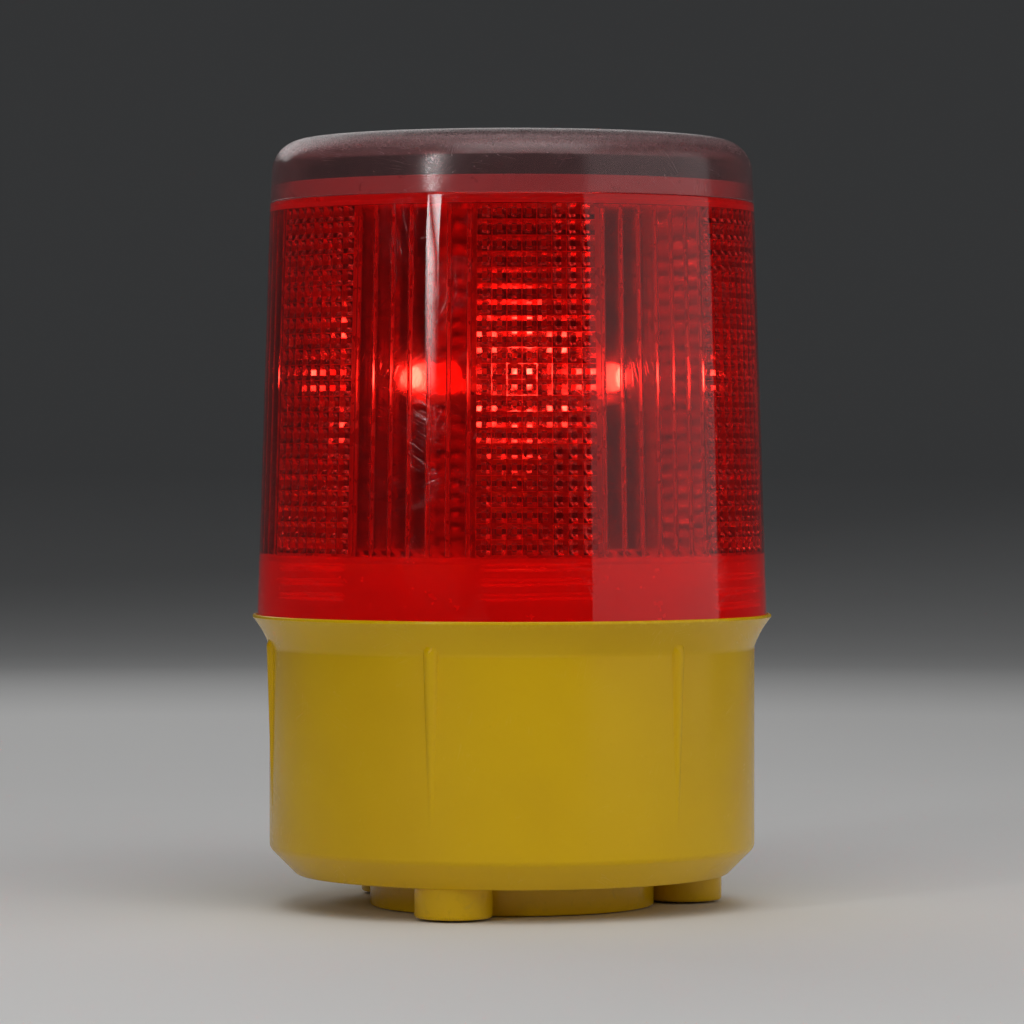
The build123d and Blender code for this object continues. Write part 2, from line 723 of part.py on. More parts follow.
def make_solar_board():
    """Backing board of the solar panel."""
    return ring(0, PANEL_R, PANEL_Z, PANEL_TOP_Z)


def make_solar_cells():
    """Five strips of silicon, cut to the panel's circle."""
    strip_w, strip_gap, margin = 12.2, 0.8, 2.2
    with BuildPart() as cells:
        with BuildSketch(Plane.XY.offset(PANEL_TOP_Z)):
            with GridLocations(strip_w + strip_gap, 0, 5, 1):
                Rectangle(strip_w, 2 * PANEL_R)
            Circle(PANEL_R - margin, mode=Mode.INTERSECT)
        extrude(amount=CELL_T)
    return cells.part


def make_solar_resin(cells):
    """Clear resin poured over the cells."""
    with BuildPart() as resin:
        add(ring(0, PANEL_R, PANEL_TOP_Z, RESIN_TOP_Z))
        add(cells, mode=Mode.SUBTRACT)
    return resin.part


# ---- leads --------------------------------------------------------------------------------------
def column_lead(x, y, top_z, exit_x, exit_y):
    """A lead that comes down inside the column and crosses to the control board."""
    route = [
        (x, y, top_z),
        (x, y, CROSSING_Z),
        (exit_x, exit_y, CROSSING_Z - 4),
        (exit_x, exit_y, CONTROL_TOP_Z),
    ]
    return wire(route, [6.0, 5.0], LEAD_R)


def battery_lead(y, over_z, exit_x, exit_y):
    """A lead from one end plate of the battery pack, over the cells, to the control board."""
    x = PLATE_X - 0.4
    route = [(x, y, PLATE_TOP_Z), (x, y, over_z), (exit_x, exit_y, over_z), (exit_x, exit_y, CONTROL_TOP_Z)]
    return wire(route, [3.0, 5.0], BATTERY_LEAD_R)


def make_leads():
    """Every lead, each along its real route."""
    return {
        "solar_lead_red": column_lead(1.0, 2.0, PANEL_Z, 3.0, 17.0),
        "solar_lead_black": column_lead(-1.0, 2.0, PANEL_Z, -3.0, 17.0),
        "lamp_lead_red": column_lead(4.3, -0.9, LED_BOARD_Z, 7.5, 14.0),
        "lamp_lead_black": column_lead(-4.3, -0.9, LED_BOARD_Z, -7.5, 14.0),
        "battery_lead_red": battery_lead(2.0, 37.0, 14.3, 14.0),
        "battery_lead_black": battery_lead(-20.0, 34.5, 11.0, 13.0),
    }


# ---- screws -------------------------------------------------------------------------------------
def make_screws():
    """Every group of screws that holds the casing, the boards and the column."""
    feet = polar(FOOT_PCD_R, FEET, FRONT)
    foot_top_z = DECK_TOP_Z + COLUMN_FOOT_T
    flange_top_z = LED_BOARD_TOP_Z + FLANGE_T
    return {
        "chassis_screws": screws(2.9, 2.2, 1.5, 17.5, feet, WELL_TOP_Z, up=True),
        "board_screws": screws(2.0, 1.2, 1.05, 6.5, STANDOFFS, CONTROL_TOP_Z),
        "holder_screws": screws(2.1, 1.3, 1.05, 7.0, HOLDER_PADS, HOLDER_SEAT_Z),
        "foot_screws": screws(2.2, 1.5, 1.05, 5.5, polar(*FOOT_SCREWS), foot_top_z),
        "joint_screws": screws(1.8, 1.3, 1.05, 6.5, polar(*JOINT_SCREWS), flange_top_z),
        "tray_screws": screws(2.1, 1.2, 1.05, 5.0, polar(*TRAY_SCREWS), TRAY_FLOOR_Z),
    }


# ---- write every piece --------------------------------------------------------------------------
def main():
    os.makedirs("parts", exist_ok=True)
    solar_cells = make_solar_cells()
    pieces = {
        "base_housing": make_base_housing(),
        "deck": make_deck(),
        "gasket": make_gasket(),
        "lens": make_lens(),
        "top_cap": make_top_cap(),
        "magnet_cup": make_magnet_cup(),
        "magnet_ring": make_magnet_ring(),
        "magnet_screw": make_magnet_screw(),
        "battery_holder": make_battery_holder(),
        "battery_cell_1": make_battery_cell(1),
        "battery_cell_2": make_battery_cell(-1),
        "contact_springs": make_contact_springs(),
        "contact_plates": make_contact_plates(),
        "control_board": make_control_board(),
        "driver_chip": make_driver_chip(),
        "inductor": make_inductor(),
        "capacitors": make_capacitors(),
        "switch_body": make_switch_body(),
        "switch_button": make_switch_button(),
        "switch_spring": make_switch_spring(),
        "switch_grommet": make_switch_grommet(),
        "lower_column": make_lower_column(),
        "led_board": make_led_board(),
        "leds": make_leds(),
        "led_legs": make_led_legs(),
        "led_resistors": make_led_resistors(),
        "upper_column": make_upper_column(),
        "solar_tray": make_solar_tray(),
        "solar_board": make_solar_board(),
        "solar_cells": solar_cells,
        "solar_resin": make_solar_resin(solar_cells),
    }
    pieces.update(make_leads())
    pieces.update(make_screws())
    for name, piece in pieces.items():
        piece.label = name
        export_step(piece, f"parts/{name}.step")


main()
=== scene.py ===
import math

import bmesh
import bpy
import numpy as np
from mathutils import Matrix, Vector
from mathutils.geometry import tessellate_polygon


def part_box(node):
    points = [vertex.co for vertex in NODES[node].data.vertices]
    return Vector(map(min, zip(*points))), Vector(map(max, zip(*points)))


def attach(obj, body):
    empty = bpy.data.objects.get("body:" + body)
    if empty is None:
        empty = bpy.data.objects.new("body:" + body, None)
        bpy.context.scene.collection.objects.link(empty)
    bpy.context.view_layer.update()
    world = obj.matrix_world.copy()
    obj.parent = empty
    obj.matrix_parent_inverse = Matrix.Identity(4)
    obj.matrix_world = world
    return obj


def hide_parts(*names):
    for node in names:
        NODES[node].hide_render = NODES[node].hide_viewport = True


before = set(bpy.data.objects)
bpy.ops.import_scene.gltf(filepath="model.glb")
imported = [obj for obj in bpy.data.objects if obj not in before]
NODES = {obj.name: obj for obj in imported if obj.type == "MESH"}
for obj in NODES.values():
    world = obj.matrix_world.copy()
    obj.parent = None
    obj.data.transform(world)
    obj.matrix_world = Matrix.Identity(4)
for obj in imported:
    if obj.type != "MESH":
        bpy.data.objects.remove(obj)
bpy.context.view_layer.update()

MM = 0.001

# ---- sizes in millimetres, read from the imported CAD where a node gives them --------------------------


def size_of(node):
    """Lowest and highest corners of a CAD node, in millimetres."""
    low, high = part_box(node)
    return [v / MM for v in low], [v / MM for v in high]


BASE_BOX = size_of("base_housing")
LENS_BOX = size_of("lens")
CAP_BOX = size_of("top_cap")
RIM_Z = BASE_BOX[1][2]
RIM_R = BASE_BOX[1][0]
LENS_FOOT_Z = LENS_BOX[0][2]
NECK_Z = LENS_BOX[1][2]
SEAM_Z = CAP_BOX[0][2]
TOP_Z = CAP_BOX[1][2]
LENS_R_LOW = 45.25
LENS_R_HIGH = 43.05
CAP_R = 42.95
BASE_R = 43.1
UNDER_Z = 5.8
UNDER_R = 37.4  # edge of the flat underside
FLOOR_Z = 8.0
FLOOR_R = 37.3  # edge of the flat floor inside
CAVITY_R = 40.9
SEAT_R = 42.5  # ledge that holds the deck
FLARE_Z = 46.0
SEAT_Z = 49.6
DECK_Z = 47.6
CHAMFER = 4.7
RIB_AXIS_R = 42.7
RIB_R = (0.4, 1.4)
RIB_Z = (15.5, 46.3)
FOOT_Z = 0.4
BOSS_Z = 0.15
BOSS_R = 25.2
BOSS_HOLE_R = 24.0
MAGNET_R = 22.1  # recess for the magnet cup
WELL_R = 3.3  # screw well up through a foot
WELL_HOLE_R = 3.9
SCREW_R = 1.7
SWITCH_HOLE_R = 5.0
MAGNET_TOP_Z = 6.0
FOOT_CIRCLE_R = 31.4
FOOT_TURNS = [math.radians(-90 + k * 120) for k in range(3)]
FEET_AT = [(FOOT_CIRCLE_R * math.cos(a), FOOT_CIRCLE_R * math.sin(a)) for a in FOOT_TURNS]
SWITCH_AT = (0.0, 32.0)
STANDOFFS = [(-12.0, 20.0), (12.0, 20.0)]
LED_TIP_R = 21.6
HOLDER_PADS = [(-15.0, -9.0), (15.0, -9.0)]
LENS_CLOCK = -5.5
PANEL_ARC = 28.0
CELL_COLUMNS = 8
CELL_ROWS = 22
PATTERN_Z = (62.9, 122.7)
RIDGES = 7
RIDGE_STEP = 4.75
LENS_WALL = 2.2
PITCH = 2.5
THREAD_Z = 53.9
THREAD_TOP_Z = 61.6
THREAD_ROOT_R = 42.95
NECK_R = (39.9, 41.4)  # inside and outside of the neck under the cap


# ---- mesh helpers -----------------------------------------------------------------------------------
def fillet(points, radii, steps=6):
    """Rounds the inner corners of an open (r, z) outline; radii gives one radius per point."""
    out = []
    for k, (p, radius) in enumerate(zip(points, radii)):
        if radius <= 0 or k in (0, len(points) - 1):
            out.append(tuple(p))
            continue
        here = np.array(p, float)
        a = np.array(points[k - 1], float) - here
        b = np.array(points[k + 1], float) - here
        la, lb = np.linalg.norm(a), np.linalg.norm(b)
        a, b = a / la, b / lb
        half = math.acos(max(-1, min(1, float(a @ b)))) / 2
        reach = min(radius / math.tan(half), la * 0.499, lb * 0.499)
        radius = reach * math.tan(half)
        centre = here + (a + b) / np.linalg.norm(a + b) * radius / math.sin(half)
        start, end = here + a * reach - centre, here + b * reach - centre
        sweep = math.atan2(start[0] * end[1] - start[1] * end[0], float(start @ end))
        for s in range(steps + 1):
            t = sweep * s / steps
            out.append((
                centre[0] + start[0] * math.cos(t) - start[1] * math.sin(t),
                centre[1] + start[0] * math.sin(t) + start[1] * math.cos(t),
            ))
    return out


def dense(points, step):
    """Divides an outline's long runs into pieces of about step."""
    out = [points[0]]
    for a, b in zip(points, points[1:]):
        count = max(1, int(math.dist(a, b) / step))
        for s in range(1, count + 1):
            out.append((a[0] + (b[0] - a[0]) * s / count, a[1] + (b[1] - a[1]) * s / count))
    return out


class Shape:
    """Vertices, faces and UVs of one piece, in millimetres, gathered from several parts."""

    def __init__(self):
        self.points, self.faces, self.uvs, self.slots = [], [], [], []

    def grid(self, radii, heights, angles, centre=(0, 0), closed=False, slots=None):
        """A turned surface. radii and heights are rows x columns arrays, angles are the columns in radians.
        closed joins the last row to the first. slots gives the material slot of each row's faces, one
        by one."""
        rows, columns = radii.shape
        start = len(self.points)
        x = centre[0] + radii * np.cos(angles)
        y = centre[1] + radii * np.sin(angles)
        self.points += np.stack([x, y, heights], -1).reshape(-1, 3).tolist()
        along = np.concatenate([[0], np.cumsum(np.hypot(np.diff(radii[:, 0]), np.diff(heights[:, 0])))])
        for r in range(rows if closed else rows - 1):
            s = (r + 1) % rows
            for c in range(columns):
                d = (c + 1) % columns
                low, high = start + r * columns, start + s * columns
                self.faces.append((low + c, low + d, high + d, high + c))
                u0, u1 = angles[c], angles[c + 1] if c + 1 < columns else angles[0] + 2 * math.pi
                v0, v1 = along[r], along[s] if s else along[r] + 0.1
                self.uvs.append([(u0 * 44, v0), (u1 * 44, v0), (u1 * 44, v1), (u0 * 44, v1)])
                self.slots.append(int(slots[r][c]) if slots is not None else 0)

    def lathe(self, outline, columns=96, centre=(0, 0), closed=True):
        """A plain solid of revolution from an (r, z) outline, counter-clockwise in r right, z up."""
        angles = np.arange(columns) * 2 * math.pi / columns
        radii = np.array([[p[0]] * columns for p in outline])
        heights = np.array([[p[1]] * columns for p in outline])
        self.grid(radii, heights, angles, centre, closed)

    def plate(self, loops, z, up):
        """A flat plate: loops are (x, y) rings, the first outside, the rest holes."""
        start = len(self.points)
        rings = [[Vector((x, y, 0)) for x, y in loop] for loop in loops]
        for loop in loops:
            self.points += [(x, y, z) for x, y in loop]
        for tri in tessellate_polygon(rings):
            a, b, c = [self.points[start + k] for k in tri]
            turn = (b[0] - a[0]) * (c[1] - a[1]) - (b[1] - a[1]) * (c[0] - a[0])
            if (turn > 0) != up:
                tri = tri[::-1]
            self.faces.append(tuple(start + k for k in tri))
            self.uvs.append([(self.points[start + k][0], self.points[start + k][1]) for k in tri])
            self.slots.append(0)

    def build(self, name, body, node, looks, sharp=32):
        """Makes the Blender object, smooth with sharp edges, riding on a body in place of a CAD node."""
        mesh = bpy.data.meshes.new(name)
        mesh.from_pydata([(x * MM, y * MM, z * MM) for x, y, z in self.points], [], self.faces)
        layer = mesh.uv_layers.new(name="UVMap")
        flat = np.array([c for uv in self.uvs for p in uv for c in p], float) * MM
        layer.data.foreach_set("uv", flat)
        mesh.polygons.foreach_set("material_index", self.slots)
        mesh.polygons.foreach_set("use_smooth", [True] * len(self.faces))
        for look in looks:
            mesh.materials.append(look)
        welded = bmesh.new()
        welded.from_mesh(mesh)
        bmesh.ops.remove_doubles(welded, verts=welded.verts, dist=0.0005 * MM)
        welded.to_mesh(mesh)
        welded.free()
        mesh.update()
        mesh.set_sharp_from_angle(angle=math.radians(sharp))
        obj = bpy.data.objects.new(name, mesh)
        bpy.context.scene.collection.objects.link(obj)
        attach(obj, body)
        if node:
            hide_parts(node)
        return obj


def circle(x, y, r, count):
    """Points round a circle."""
    turns = [2 * math.pi * k / count for k in range(count)]
    return [(x + r * math.cos(turn), y + r * math.sin(turn)) for turn in turns]


# ---- material helper --------------------------------------------------------------------------------
class Look:
    """A procedural material, built node by node around one Principled shader."""

    def __init__(self, name, **inputs):
        self.material = bpy.data.materials.new(name)
        self.material.use_nodes = True
        self.tree = self.material.node_tree
        self.shader = self.tree.nodes["Principled BSDF"]
        coords = self.add("ShaderNodeTexCoord")
        self.place, self.uv = coords.outputs["Object"], coords.outputs["UV"]
        self.set(**inputs)

    def add(self, kind, **settings):
        node = self.tree.nodes.new(kind)
        for key, value in settings.items():
            setattr(node, key, value)
        return node

    def join(self, socket, value):
        if isinstance(value, bpy.types.NodeSocket):
            self.tree.links.new(value, socket)
        else:
            socket.default_value = value

    def set(self, **inputs):
        for key, value in inputs.items():
            self.join(self.shader.inputs[key.replace("_", " ")], value)
        return self

    def moved(self, source, scale=(1, 1, 1), turn=(0, 0, 0)):
        node = self.add("ShaderNodeMapping")
        self.join(node.inputs["Vector"], source)
        node.inputs["Scale"].default_value = scale
        node.inputs["Rotation"].default_value = turn
        return node.outputs["Vector"]

    def noise(self, size_mm, detail=3.0, rough=0.55, source=None, warp=0.0):
        """Noise between 0 and 1 with features about size_mm across."""
        node = self.add("ShaderNodeTexNoise")
        self.join(node.inputs["Vector"], source or self.place)
        node.inputs["Scale"].default_value = 1 / (size_mm * MM)
        node.inputs["Detail"].default_value = detail
        node.inputs["Roughness"].default_value = rough
        node.inputs["Distortion"].default_value = warp
        return node.outputs["Fac"]

    def math(self, operation, a, b=0.0, clamp=False):
        node = self.add("ShaderNodeMath", operation=operation, use_clamp=clamp)
        self.join(node.inputs[0], a)
        self.join(node.inputs[1], b)
        return node.outputs[0]

    def span(self, value, low, high, to_low=0.0, to_high=1.0):
        node = self.add("ShaderNodeMapRange")
        for socket, number in zip(node.inputs, (value, low, high, to_low, to_high)):
            self.join(socket, number)
        return node.outputs[0]

    def mix(self, factor, a, b):
        node = self.add("ShaderNodeMix", data_type="RGBA")
        self.join(node.inputs[0], factor)
        self.join(node.inputs[6], a if isinstance(a, bpy.types.NodeSocket) else (*a, 1))
        self.join(node.inputs[7], b if isinstance(b, bpy.types.NodeSocket) else (*b, 1))
        return node.outputs[2]

    def axis(self, name):
        node = self.add("ShaderNodeSeparateXYZ")
        self.join(node.inputs[0], self.place)
        return node.outputs[name]

    def radius(self):
        """Distance from the lamp's axis, in millimetres."""
        squares = [self.math("MULTIPLY", self.axis(a), self.axis(a)) for a in "XY"]
        return self.math("MULTIPLY", self.math("SQRT", self.math("ADD", *squares)), 1 / MM)

    def height(self):
        """Height above the floor, in millimetres."""
        return self.math("MULTIPLY", self.axis("Z"), 1 / MM)

    def bump(self, height, depth_mm, normal=None):
        node = self.add("ShaderNodeBump")
        self.join(node.inputs["Height"], height)
        node.inputs["Strength"].default_value = 1.0
        node.inputs["Distance"].default_value = depth_mm * MM
        if normal:
            self.join(node.inputs["Normal"], normal)
        return node.outputs["Normal"]

    def scratches(self, turns, width_mm=0.12, length=14.0):
        """Fine random scratches, one family per angle in turns, as a 0 to 1 mask."""
        total = None
        for k, turn in enumerate(turns):
            turned = self.moved(self.uv, (1, 1, 1), (0, 0, math.radians(turn)))
            bent = self.moved(turned, (1.0, 1.0 / length, 1.0))
            cells = self.noise(width_mm * 9, 1.0, 0.4, bent, warp=0.25)
            line = self.span(self.math("ABSOLUTE", self.math("SUBTRACT", cells, 0.5)), 0.0, 0.014, 1.0, 0.0)
            patch = self.span(self.noise(7.0 + 3 * k, 2.0, 0.5, self.uv), 0.57, 0.66)
            line = self.math("MULTIPLY", line, patch)
            total = line if total is None else self.math("MAXIMUM", total, line)
        return total


def plastic(name, base, rough, dark=None, light=None, grain_mm=0.4, depth_mm=0.012, **more):
    """Moulded plastic with drift in its tint, uneven gloss and a fine grain."""
    look = Look(name, **more)
    dark = dark or tuple(c * 0.55 for c in base)
    light = light or tuple(min(1, c * 1.12 + 0.01) for c in base)
    colour = look.mix(look.span(look.noise(14.0, 3.0), 0.35, 0.65), base, light)
    colour = look.mix(look.span(look.noise(2.2, 4.0, 0.6), 0.62, 0.80, 0.0, 0.5), colour, dark)
    gloss = look.span(look.noise(4.0, 4.0, 0.6), 0.3, 0.7, rough - 0.06, rough + 0.09)
    look.set(Base_Color=colour, Roughness=gloss, Normal=look.bump(look.noise(grain_mm, 2.0), depth_mm))
    return look.material


def metal(name, base, rough, tarnish, brushed=(1, 1, 8)):
    """Plated steel with faint brushing and tarnish."""
    look = Look(name, Metallic=1.0)
    lines = look.noise(1.6, 4.0, 0.7, look.moved(look.place, brushed))
    spots = look.span(look.noise(1.8, 4.0, 0.65, warp=0.4), 0.52, 0.75)
    look.set(
        Base_Color=look.mix(spots, base, tarnish),
        Roughness=look.span(look.math("ADD", lines, spots), 0.3, 1.4, rough - 0.08, rough + 0.2),
        Normal=look.bump(lines, 0.01),
    )
    return look.material


# ---- materials --------------------------------------------------------------------------------------
def yellow_plastic():
    """Golden yellow satin moulding, paler on the lip of the rim (rubbed wear with a painted highlight) and a
    little dirty near the floor.
    """
    look = Look("yellow_plastic", IOR=1.5, Specular_IOR_Level=0.26)
    height, radius = look.height(), look.radius()
    drift = look.span(look.noise(34.0, 2.0), 0.35, 0.65)
    colour = look.mix(drift, (0.70, 0.415, 0.001), (0.76, 0.465, 0.0015))
    flecks = look.span(look.noise(0.8, 2.0, 0.6), 0.68, 0.78, 0.0, 0.12)
    colour = look.mix(flecks, colour, (0.46, 0.245, 0.002))
    low = look.span(height, 10.0, 1.0)
    grime = look.math("MULTIPLY", look.span(look.noise(2.6, 6.0, 0.7, warp=0.8), 0.55, 0.82), low)
    colour = look.mix(look.math("MULTIPLY", grime, 0.35), colour, (0.16, 0.085, 0.008))
    # Paler patches on the rim's lip: partly rubbed wear, partly a painted highlight along the rim's top
    # edge.
    wear_and_highlight_patches = look.span(look.noise(1.1, 5.0, 0.7), 0.50, 0.60)
    lip = look.math("MULTIPLY", look.span(radius, 45.2, 46.0), wear_and_highlight_patches)
    colour = look.mix(look.math("MULTIPLY", lip, 0.35), colour, (0.84, 0.58, 0.03))
    scuff = look.scratches((12, 68, 121), 0.08)
    colour = look.mix(look.math("MULTIPLY", scuff, 0.06), colour, (0.84, 0.60, 0.05))
    gloss = look.span(look.noise(9.0, 4.0, 0.6), 0.3, 0.7, 0.19, 0.26)
    gloss = look.math("ADD", gloss, look.math("MULTIPLY", look.math("MAXIMUM", grime, scuff), 0.10))
    wave = look.bump(look.noise(14.0, 1.0), 0.02, look.bump(look.noise(0.5, 2.0), 0.002))
    scored = look.bump(look.math("SUBTRACT", 1.0, scuff), 0.0015, wave)
    look.set(Base_Color=colour, Roughness=gloss, Normal=scored)
    return look.material


LENS_TINT = (0.86, 0.020, 0.016)


def lens_plastic(name, rough, clear=1.0, depth_mm=0.006, tint=LENS_TINT, painted_glow=0.0):
    """Transparent red plastic of the lens, as moulded. The last argument is a painted glow: emission that
    stands in for the lamps' light falling on this part.
    """
    look = Look(name, IOR=1.44, Transmission_Weight=clear, Specular_IOR_Level=0.30)
    look.set(Emission_Color=(*tint, 1), Emission_Strength=painted_glow)
    look.set(
        Base_Color=look.mix(look.span(look.noise(24.0, 2.0), 0.3, 0.7), tint, tuple(c * 0.9 for c in tint)),
        Roughness=look.span(look.noise(3.0, 3.0), 0.35, 0.7, rough * 0.6, rough * 1.3),
        Normal=look.bump(look.noise(5.0, 1.0), depth_mm),
    )
    return look.material


def lens_outside():
    """Outer face of the lens: polished, with handling scratches and dust."""
    look = Look("lens_outside", IOR=1.44, Transmission_Weight=0.99, Specular_IOR_Level=0.30)
    tint = look.mix(look.span(look.noise(24.0, 2.0), 0.3, 0.7), LENS_TINT, tuple(c * 0.9 for c in LENS_TINT))
    fine = look.scratches((5, 24, 47, 71, 96, 118, 142, 166), 0.09)
    dust = look.span(look.noise(0.7, 5.0, 0.7), 0.66, 0.74, 0.0, 0.5)
    rough = look.span(look.noise(5.0, 5.0, 0.65), 0.50, 0.85, 0.006, 0.05)
    rough = look.math("ADD", rough, look.math("MULTIPLY", look.math("MAXIMUM", fine, dust), 0.12))
    wave = look.bump(look.noise(18.0, 1.0), 0.010)
    look.set(
        Base_Color=look.mix(look.math("MULTIPLY", fine, 0.12), tint, (0.8, 0.08, 0.07)),
        Roughness=rough,
        Normal=look.bump(look.math("SUBTRACT", 1.0, fine), 0.006, wave),
    )
    return look.material


def cap_plastic():
    """Clear cap: its top is polished, its edge is rubbed to a frost and its side is cloudy."""
    look = Look("cap_plastic", IOR=1.46, Transmission_Weight=0.93, Specular_IOR_Level=0.35)
    height, radius = look.height(), look.radius()
    side = look.span(radius, 33.5, 38.5)
    # The side's tint is darkened pink as painted shade, standing in for dark surroundings seen through the
    # clear cap.
    tint = look.mix(side, (0.93, 0.90, 0.89), (0.64, 0.37, 0.38))
    tint = look.mix(look.span(look.noise(14.0, 2.0), 0.40, 0.75, 0.0, 0.25), tint, (0.56, 0.31, 0.32))
    rubbed = look.math("MULTIPLY", look.span(height, TOP_Z - 4.5, TOP_Z - 0.9), side)
    speck = look.span(look.noise(0.35, 5.0, 0.75), 0.40, 0.60)
    fine = look.scratches((12, 55, 99, 141), 0.09)
    cloud = look.math("MULTIPLY", look.span(look.noise(4.0, 5.0, 0.65), 0.40, 0.85, 0.12, 0.24), side)
    rough = look.math("ADD", cloud, look.span(look.noise(2.5, 4.0), 0.5, 0.8, 0.015, 0.05))
    rough = look.math("ADD", rough, look.math("MULTIPLY", look.math("MULTIPLY", rubbed, speck), 0.30))
    rough = look.math("ADD", rough, look.math("MULTIPLY", fine, 0.12), clamp=True)
    pits = look.bump(look.math("MULTIPLY", look.noise(0.40, 4.0, 0.7), rubbed), 0.07)
    scored = look.bump(look.math("SUBTRACT", 1.0, fine), 0.004, pits)
    look.set(Base_Color=tint, Roughness=rough, Normal=scored)
    return look.material


def rubber(name):
    look = Look(name, IOR=1.5, Specular_IOR_Level=0.3)
    dust = look.span(look.noise(2.0, 5.0, 0.7), 0.5, 0.8)
    look.set(
        Base_Color=look.mix(dust, (0.022, 0.022, 0.023), (0.07, 0.066, 0.06)),
        Roughness=look.span(dust, 0, 1, 0.62, 0.85),
        Normal=look.bump(look.noise(0.25, 3.0), 0.02),
    )
    return look.material


def ferrite():
    look = Look("ferrite", IOR=1.8)
    lay = look.noise(0.8, 3.0, 0.6, look.moved(look.place, (1, 14, 1)))
    chips = look.span(look.noise(1.2, 4.0, 0.7), 0.62, 0.70)
    look.set(
        Base_Color=look.mix(chips, (0.045, 0.045, 0.05), (0.11, 0.105, 0.10)),
        Roughness=look.span(lay, 0.3, 0.7, 0.38, 0.6),
        Normal=look.bump(look.math("SUBTRACT", lay, chips), 0.02),
    )
    return look.material


def circuit_board(name, mask, track):
    """Solder mask over faint copper tracks."""
    look = Look(name, IOR=1.5)
    bricks = look.add("ShaderNodeTexBrick", offset=0.5)
    look.join(bricks.inputs["Vector"], look.moved(look.place, (1, 1, 0.2), (0, 0, 0.79)))
    bricks.inputs["Scale"].default_value = 1 / (5.0 * MM)
    bricks.inputs["Mortar Size"].default_value = 0.03
    lines = bricks.outputs["Fac"]
    look.set(
        Base_Color=look.mix(lines, look.mix(look.noise(3.0), mask, tuple(c * 0.8 for c in mask)), track),
        Roughness=look.span(look.noise(1.5), 0.3, 0.7, 0.28, 0.42),
        Normal=look.bump(lines, 0.03, look.bump(look.noise(0.3), 0.006)),
    )
    return look.material


def led_epoxy():
    """Lit lamp: a small, very bright spot at the tip of its dome, dim elsewhere."""
    look = Look("led_epoxy", IOR=1.5, Transmission_Weight=0.2, Emission_Strength=900.0)
    tip = look.span(look.radius(), LED_TIP_R - 0.9, LED_TIP_R - 0.1)
    body = look.span(look.radius(), 18.3, 20.0)
    glow = look.mix(body, (0.0004, 0.0002, 0.0001), (0.013, 0.0095, 0.0070))
    look.set(
        Base_Color=look.mix(look.noise(1.2), (0.85, 0.06, 0.02), (0.95, 0.12, 0.03)),
        Roughness=look.span(look.noise(0.8), 0.3, 0.7, 0.12, 0.22),
        Emission_Color=look.mix(look.math("POWER", tip, 2.0), glow, (1.0, 0.92, 0.70)),
        Normal=look.bump(look.noise(0.4), 0.004),
    )
    return look.material


def silicon():
    """Dark blue cell with its silver collector fingers."""
    look = Look("silicon", IOR=1.9, Coat_Weight=0.3)
    x, y = look.math("MULTIPLY", look.axis("X"), 1 / MM), look.math("MULTIPLY", look.axis("Y"), 1 / MM)
    fingers = look.math("LESS_THAN", look.math("PINGPONG", y, 1.1), 0.09)
    bars = look.math("LESS_THAN", look.math("PINGPONG", x, 6.5), 0.45)
    silver = look.math("MAXIMUM", fingers, bars)
    crystal = look.add("ShaderNodeTexVoronoi")
    look.join(crystal.inputs["Vector"], look.moved(look.place, (1, 1, 0.01)))
    crystal.inputs["Scale"].default_value = 1 / (3.0 * MM)
    blue = look.mix(look.span(crystal.outputs["Color"], 0, 1), (0.012, 0.028, 0.12), (0.025, 0.06, 0.24))
    look.set(
        Base_Color=look.mix(silver, blue, (0.55, 0.55, 0.54)),
        Metallic=look.math("MULTIPLY", silver, 0.9),
        Roughness=look.span(look.noise(1.0), 0.3, 0.7, 0.22, 0.34),
        Normal=look.bump(silver, 0.02),
    )
    return look.material


def clear_resin():
    look = Look("clear_resin", IOR=1.5, Transmission_Weight=1.0)
    bubbles = look.span(look.noise(1.6, 2.0), 0.70, 0.76)
    look.set(
        Base_Color=look.mix(bubbles, (0.93, 0.92, 0.88), (0.8, 0.79, 0.75)),
        Roughness=look.span(bubbles, 0, 1, 0.04, 0.3),
        Normal=look.bump(look.noise(9.0, 1.0), 0.05),
    )
    return look.material


def cell_jacket():
    """Shrink sleeve of a rechargeable cell: green with a plain white band, bare steel ends."""
    look = Look("cell_jacket", IOR=1.5, Coat_Weight=0.3)
    x = look.math("MULTIPLY", look.axis("X"), 1 / MM)
    band = look.math("LESS_THAN", look.math("ABSOLUTE", look.math("SUBTRACT", x, -12.0)), 4.0)
    ends = look.math("GREATER_THAN", look.math("ABSOLUTE", x), 23.7)
    green = look.mix(look.noise(6.0), (0.03, 0.22, 0.10), (0.05, 0.28, 0.13))
    sleeve = look.mix(band, green, (0.75, 0.75, 0.72))
    look.set(
        Base_Color=look.mix(ends, sleeve, (0.62, 0.61, 0.58)),
        Metallic=ends,
        Roughness=look.span(look.noise(2.0, 4.0), 0.3, 0.7, 0.26, 0.42),
        Normal=look.bump(look.noise(0.9, 3.0), 0.02),
    )
    return look.material


